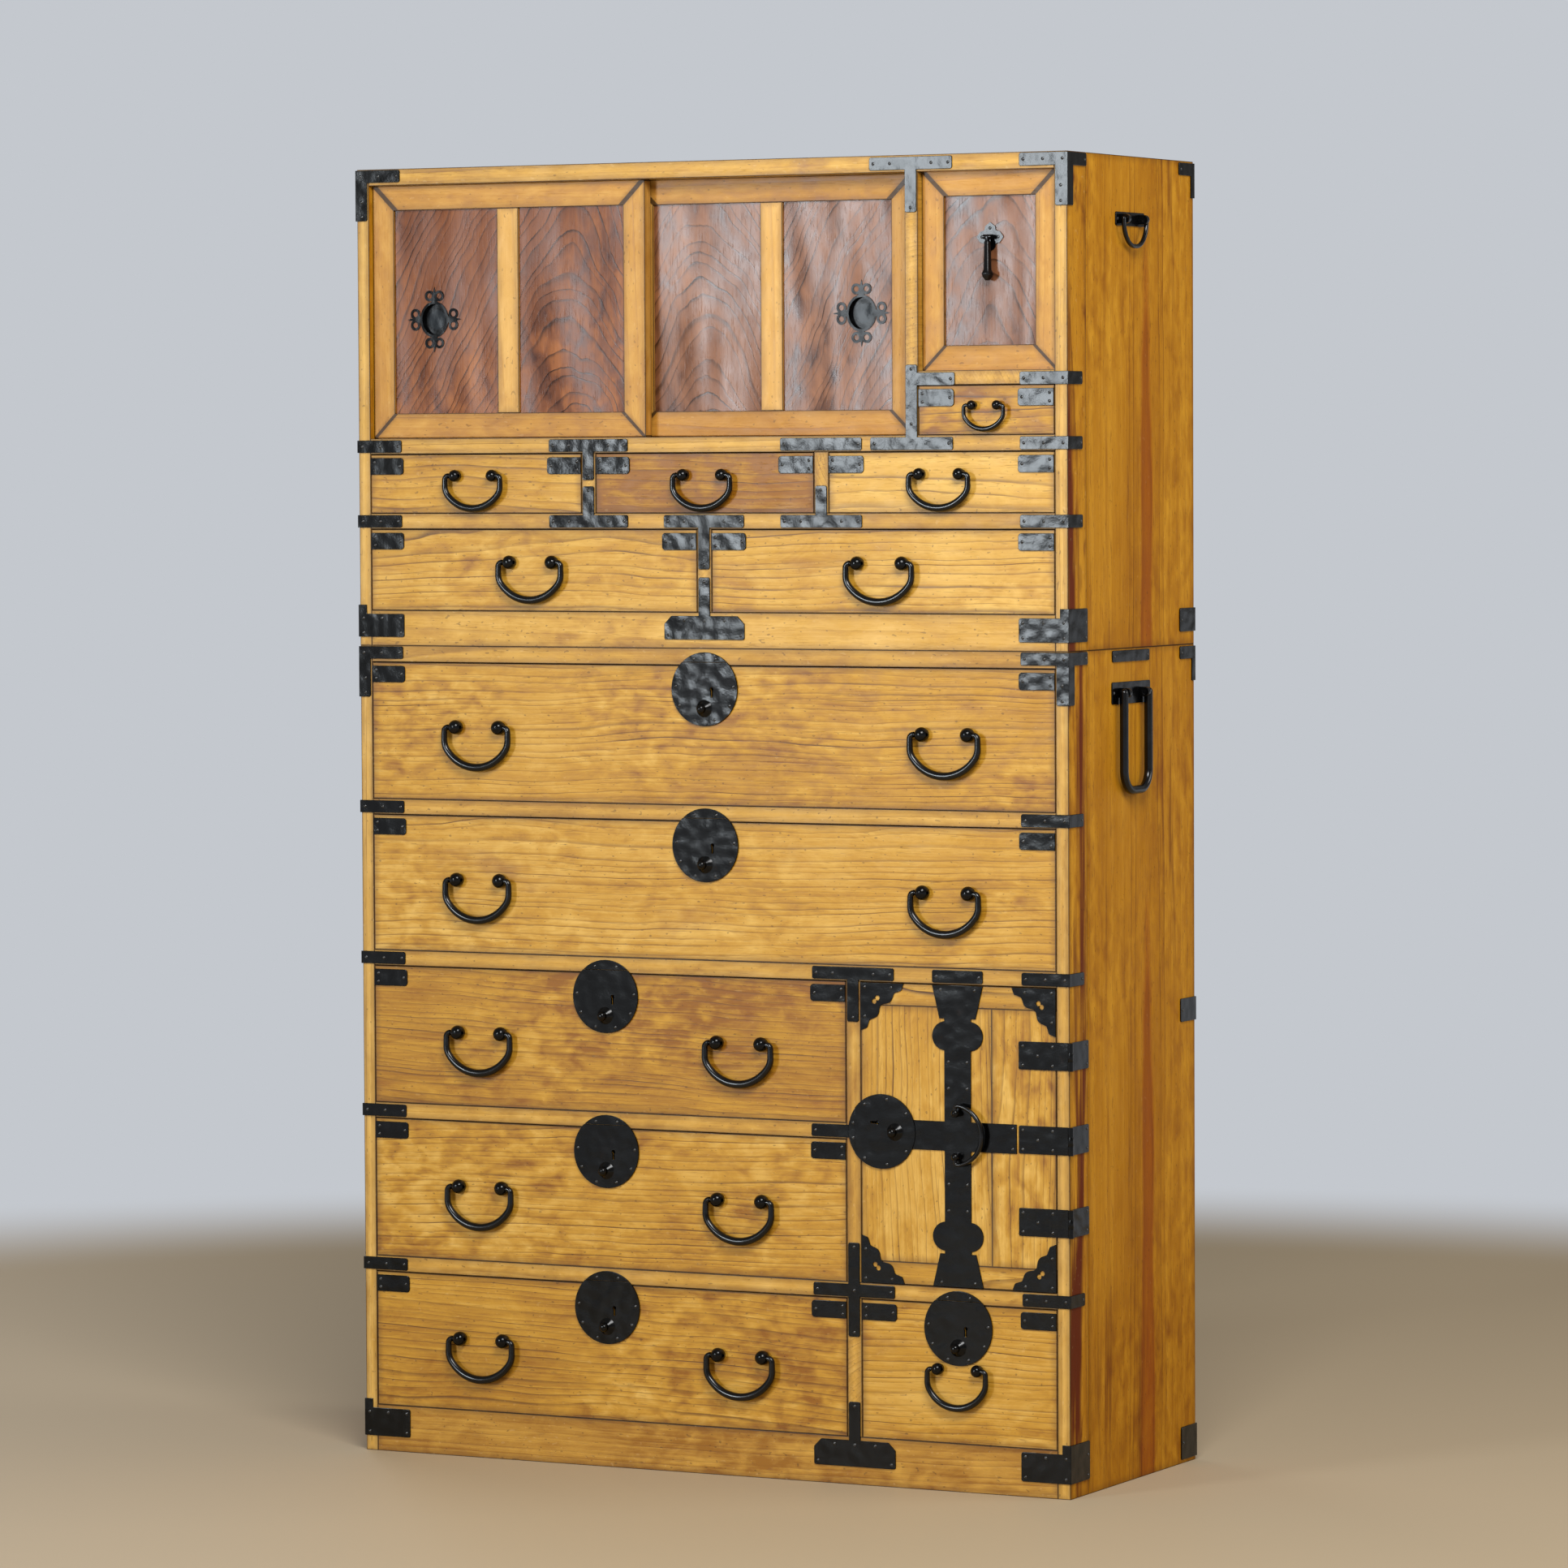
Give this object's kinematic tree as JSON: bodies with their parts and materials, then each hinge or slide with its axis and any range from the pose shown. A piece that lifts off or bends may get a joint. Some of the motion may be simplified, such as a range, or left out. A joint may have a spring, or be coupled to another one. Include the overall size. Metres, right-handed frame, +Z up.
{
  "type": "stacking drawer chest",
  "caption": "Tall two-section stacking clothes chest in pale wood with black iron fittings: drawers, sliding doors, a lift-out door and a hinged cupboard door.",
  "frame": {"origin": "on the floor, at the middle of the wooden case's width and depth", "axes": "+X to the right seen from the front, +Y from the front to the back, +Z up"},
  "size_m": [0.9368, 0.3631, 1.5],
  "materials": {
    "case_wood": "satin",
    "drawer_wood": "satin",
    "door_wood": "satin",
    "black_iron": "hammered satin",
    "cup_iron": "satin"
  },
  "bodies": {
    "lower_case": {"lower_case_boards": "case_wood", "lower_case_iron": "black_iron"},
    "upper_case": {"upper_case_boards": "case_wood", "upper_case_iron": "black_iron"},
    "top_wide_drawer": {"top_wide_drawer": "drawer_wood", "top_wide_drawer_iron": "black_iron"},
    "top_wide_bail_left": {"top_wide_bail_left": "black_iron"},
    "top_wide_bail_right": {"top_wide_bail_right": "black_iron"},
    "second_wide_drawer": {"second_wide_drawer": "drawer_wood", "second_wide_drawer_iron": "black_iron"},
    "second_wide_bail_left": {"second_wide_bail_left": "black_iron"},
    "second_wide_bail_right": {"second_wide_bail_right": "black_iron"},
    "third_left_drawer": {"third_left_drawer": "drawer_wood", "third_left_drawer_iron": "black_iron"},
    "third_left_bail_left": {"third_left_bail_left": "black_iron"},
    "third_left_bail_right": {"third_left_bail_right": "black_iron"},
    "fourth_left_drawer": {"fourth_left_drawer": "drawer_wood", "fourth_left_drawer_iron": "black_iron"},
    "fourth_left_bail_left": {"fourth_left_bail_left": "black_iron"},
    "fourth_left_bail_right": {"fourth_left_bail_right": "black_iron"},
    "bottom_left_drawer": {"bottom_left_drawer": "drawer_wood", "bottom_left_drawer_iron": "black_iron"},
    "bottom_left_bail_left": {"bottom_left_bail_left": "black_iron"},
    "bottom_left_bail_right": {"bottom_left_bail_right": "black_iron"},
    "bottom_right_drawer": {"bottom_right_drawer": "drawer_wood", "bottom_right_drawer_iron": "black_iron"},
    "bottom_right_bail": {"bottom_right_bail": "black_iron"},
    "long_left_drawer": {"long_left_drawer": "drawer_wood", "long_left_drawer_iron": "black_iron"},
    "long_left_bail": {"long_left_bail": "black_iron"},
    "long_right_drawer": {"long_right_drawer": "drawer_wood", "long_right_drawer_iron": "black_iron"},
    "long_right_bail": {"long_right_bail": "black_iron"},
    "short_left_drawer": {"short_left_drawer": "drawer_wood", "short_left_drawer_iron": "black_iron"},
    "short_left_bail": {"short_left_bail": "black_iron"},
    "short_middle_drawer": {"short_middle_drawer": "drawer_wood", "short_middle_drawer_iron": "black_iron"},
    "short_middle_bail": {"short_middle_bail": "black_iron"},
    "short_right_drawer": {"short_right_drawer": "drawer_wood", "short_right_drawer_iron": "black_iron"},
    "short_right_bail": {"short_right_bail": "black_iron"},
    "small_upper_drawer": {"small_upper_drawer": "drawer_wood", "small_upper_drawer_iron": "black_iron"},
    "small_upper_bail": {"small_upper_bail": "black_iron"},
    "left_sliding_door": {"left_sliding_door": "door_wood", "left_sliding_door_cup_pull": "cup_iron"},
    "right_sliding_door": {"right_sliding_door": "door_wood", "right_sliding_door_cup_pull": "cup_iron"},
    "lift_out_door": {"lift_out_door": "door_wood", "lift_out_door_plate": "black_iron"},
    "lift_out_door_drop": {"lift_out_door_drop": "black_iron"},
    "hinged_door": {"hinged_door": "door_wood", "hinged_door_iron": "black_iron"},
    "hinged_door_bail": {"hinged_door_bail": "black_iron"},
    "right_ring_handle": {"right_ring_handle": "black_iron"},
    "right_carrying_handle": {"right_carrying_handle": "black_iron"},
    "left_ring_handle": {"left_ring_handle": "black_iron"},
    "left_carrying_handle": {"left_carrying_handle": "black_iron"}
  },
  "joints": [
    {"name": "upper_case_lift", "type": "slide", "parent": "lower_case", "child": "upper_case", "axis": [0, 0, 1], "range_m": [0, 0.05]},
    {"name": "top_wide_drawer_slide", "type": "slide", "parent": "lower_case", "child": "top_wide_drawer", "axis": [0, -1, 0], "range_m": [0, 0.25]},
    {"name": "top_wide_bail_left_swing", "type": "hinge", "parent": "top_wide_drawer", "child": "top_wide_bail_left", "pos_m": [-0.297, -0.1799, 0.852], "axis": [-1, 0, 0], "range_deg": [0, 150]},
    {"name": "top_wide_bail_right_swing", "type": "hinge", "parent": "top_wide_drawer", "child": "top_wide_bail_right", "pos_m": [0.305, -0.1799, 0.852], "axis": [-1, 0, 0], "range_deg": [0, 150]},
    {"name": "second_wide_drawer_slide", "type": "slide", "parent": "lower_case", "child": "second_wide_drawer", "axis": [0, -1, 0], "range_m": [0, 0.25]},
    {"name": "second_wide_bail_left_swing", "type": "hinge", "parent": "second_wide_drawer", "child": "second_wide_bail_left", "pos_m": [-0.297, -0.1799, 0.6745], "axis": [-1, 0, 0], "range_deg": [0, 150]},
    {"name": "second_wide_bail_right_swing", "type": "hinge", "parent": "second_wide_drawer", "child": "second_wide_bail_right", "pos_m": [0.305, -0.1799, 0.6745], "axis": [-1, 0, 0], "range_deg": [0, 150]},
    {"name": "third_left_drawer_slide", "type": "slide", "parent": "lower_case", "child": "third_left_drawer", "axis": [0, -1, 0], "range_m": [0, 0.25]},
    {"name": "third_left_bail_left_swing", "type": "hinge", "parent": "third_left_drawer", "child": "third_left_bail_left", "pos_m": [-0.297, -0.1799, 0.4965], "axis": [-1, 0, 0], "range_deg": [0, 150]},
    {"name": "third_left_bail_right_swing", "type": "hinge", "parent": "third_left_drawer", "child": "third_left_bail_right", "pos_m": [0.043, -0.1799, 0.4965], "axis": [-1, 0, 0], "range_deg": [0, 150]},
    {"name": "fourth_left_drawer_slide", "type": "slide", "parent": "lower_case", "child": "fourth_left_drawer", "axis": [0, -1, 0], "range_m": [0, 0.25]},
    {"name": "fourth_left_bail_left_swing", "type": "hinge", "parent": "fourth_left_drawer", "child": "fourth_left_bail_left", "pos_m": [-0.297, -0.1799, 0.31675], "axis": [-1, 0, 0], "range_deg": [0, 150]},
    {"name": "fourth_left_bail_right_swing", "type": "hinge", "parent": "fourth_left_drawer", "child": "fourth_left_bail_right", "pos_m": [0.043, -0.1799, 0.31675], "axis": [-1, 0, 0], "range_deg": [0, 150]},
    {"name": "bottom_left_drawer_slide", "type": "slide", "parent": "lower_case", "child": "bottom_left_drawer", "axis": [0, -1, 0], "range_m": [0, 0.25]},
    {"name": "bottom_left_bail_left_swing", "type": "hinge", "parent": "bottom_left_drawer", "child": "bottom_left_bail_left", "pos_m": [-0.297, -0.1799, 0.1385], "axis": [-1, 0, 0], "range_deg": [0, 150]},
    {"name": "bottom_left_bail_right_swing", "type": "hinge", "parent": "bottom_left_drawer", "child": "bottom_left_bail_right", "pos_m": [0.043, -0.1799, 0.1385], "axis": [-1, 0, 0], "range_deg": [0, 150]},
    {"name": "bottom_right_drawer_slide", "type": "slide", "parent": "lower_case", "child": "bottom_right_drawer", "axis": [0, -1, 0], "range_m": [0, 0.25]},
    {"name": "bottom_right_bail_swing", "type": "hinge", "parent": "bottom_right_drawer", "child": "bottom_right_bail", "pos_m": [0.318, -0.1799, 0.1385], "axis": [-1, 0, 0], "range_deg": [0, 150]},
    {"name": "long_left_drawer_slide", "type": "slide", "parent": "upper_case", "child": "long_left_drawer", "axis": [0, -1, 0], "range_m": [0, 0.25]},
    {"name": "long_left_bail_swing", "type": "hinge", "parent": "long_left_drawer", "child": "long_left_bail", "pos_m": [-0.2245, -0.1799, 1.0435], "axis": [-1, 0, 0], "range_deg": [0, 150]},
    {"name": "long_right_drawer_slide", "type": "slide", "parent": "upper_case", "child": "long_right_drawer", "axis": [0, -1, 0], "range_m": [0, 0.25]},
    {"name": "long_right_bail_swing", "type": "hinge", "parent": "long_right_drawer", "child": "long_right_bail", "pos_m": [0.2245, -0.1799, 1.0435], "axis": [-1, 0, 0], "range_deg": [0, 150]},
    {"name": "short_left_drawer_slide", "type": "slide", "parent": "upper_case", "child": "short_left_drawer", "axis": [0, -1, 0], "range_m": [0, 0.25]},
    {"name": "short_left_bail_swing", "type": "hinge", "parent": "short_left_drawer", "child": "short_left_bail", "pos_m": [-0.29933, -0.1799, 1.1435], "axis": [-1, 0, 0], "range_deg": [0, 150]},
    {"name": "short_middle_drawer_slide", "type": "slide", "parent": "upper_case", "child": "short_middle_drawer", "axis": [0, -1, 0], "range_m": [0, 0.25]},
    {"name": "short_middle_bail_swing", "type": "hinge", "parent": "short_middle_drawer", "child": "short_middle_bail", "pos_m": [0, -0.1799, 1.1435], "axis": [-1, 0, 0], "range_deg": [0, 150]},
    {"name": "short_right_drawer_slide", "type": "slide", "parent": "upper_case", "child": "short_right_drawer", "axis": [0, -1, 0], "range_m": [0, 0.25]},
    {"name": "short_right_bail_swing", "type": "hinge", "parent": "short_right_drawer", "child": "short_right_bail", "pos_m": [0.29933, -0.1799, 1.1435], "axis": [-1, 0, 0], "range_deg": [0, 150]},
    {"name": "small_upper_drawer_slide", "type": "slide", "parent": "upper_case", "child": "small_upper_drawer", "axis": [0, -1, 0], "range_m": [0, 0.25]},
    {"name": "small_upper_bail_swing", "type": "hinge", "parent": "small_upper_drawer", "child": "small_upper_bail", "pos_m": [0.35575, -0.1799, 1.22], "axis": [-1, 0, 0], "range_deg": [0, 150]},
    {"name": "left_sliding_door_slide", "type": "slide", "parent": "upper_case", "child": "left_sliding_door", "axis": [1, 0, 0], "range_m": [0, 0.3312]},
    {"name": "right_sliding_door_slide", "type": "slide", "parent": "upper_case", "child": "right_sliding_door", "axis": [-1, 0, 0], "range_m": [0, 0.3312]},
    {"name": "lift_out_door_lift", "type": "slide", "parent": "upper_case", "child": "lift_out_door", "axis": [0, 0, 1], "range_m": [0, 0.0045]},
    {"name": "lift_out_door_drop_swing", "type": "hinge", "parent": "lift_out_door", "child": "lift_out_door_drop", "pos_m": [0.35575, -0.168, 1.407], "axis": [-1, 0, 0], "range_deg": [0, 85]},
    {"name": "hinged_door_hinge", "type": "hinge", "parent": "lower_case", "child": "hinged_door", "pos_m": [0.4581, -0.1751, 0.40125], "axis": [0, 0, 1], "range_deg": [0, 180]},
    {"name": "hinged_door_bail_swing", "type": "hinge", "parent": "hinged_door", "child": "hinged_door_bail", "pos_m": [0.318, -0.1814, 0.40325], "axis": [0, 0, -1], "range_deg": [0, 150]},
    {"name": "right_ring_handle_swing", "type": "hinge", "parent": "upper_case", "child": "right_ring_handle", "pos_m": [0.463, -0.006, 1.429], "axis": [0, -1, 0], "range_deg": [0, 150]},
    {"name": "right_carrying_handle_swing", "type": "hinge", "parent": "lower_case", "child": "right_carrying_handle", "pos_m": [0.463, -0.006, 0.896], "axis": [0, -1, 0], "range_deg": [0, 180]},
    {"name": "left_ring_handle_swing", "type": "hinge", "parent": "upper_case", "child": "left_ring_handle", "pos_m": [-0.463, -0.006, 1.429], "axis": [0, 1, 0], "range_deg": [0, 150]},
    {"name": "left_carrying_handle_swing", "type": "hinge", "parent": "lower_case", "child": "left_carrying_handle", "pos_m": [-0.463, -0.006, 0.896], "axis": [0, 1, 0], "range_deg": [0, 180]}
  ]
}
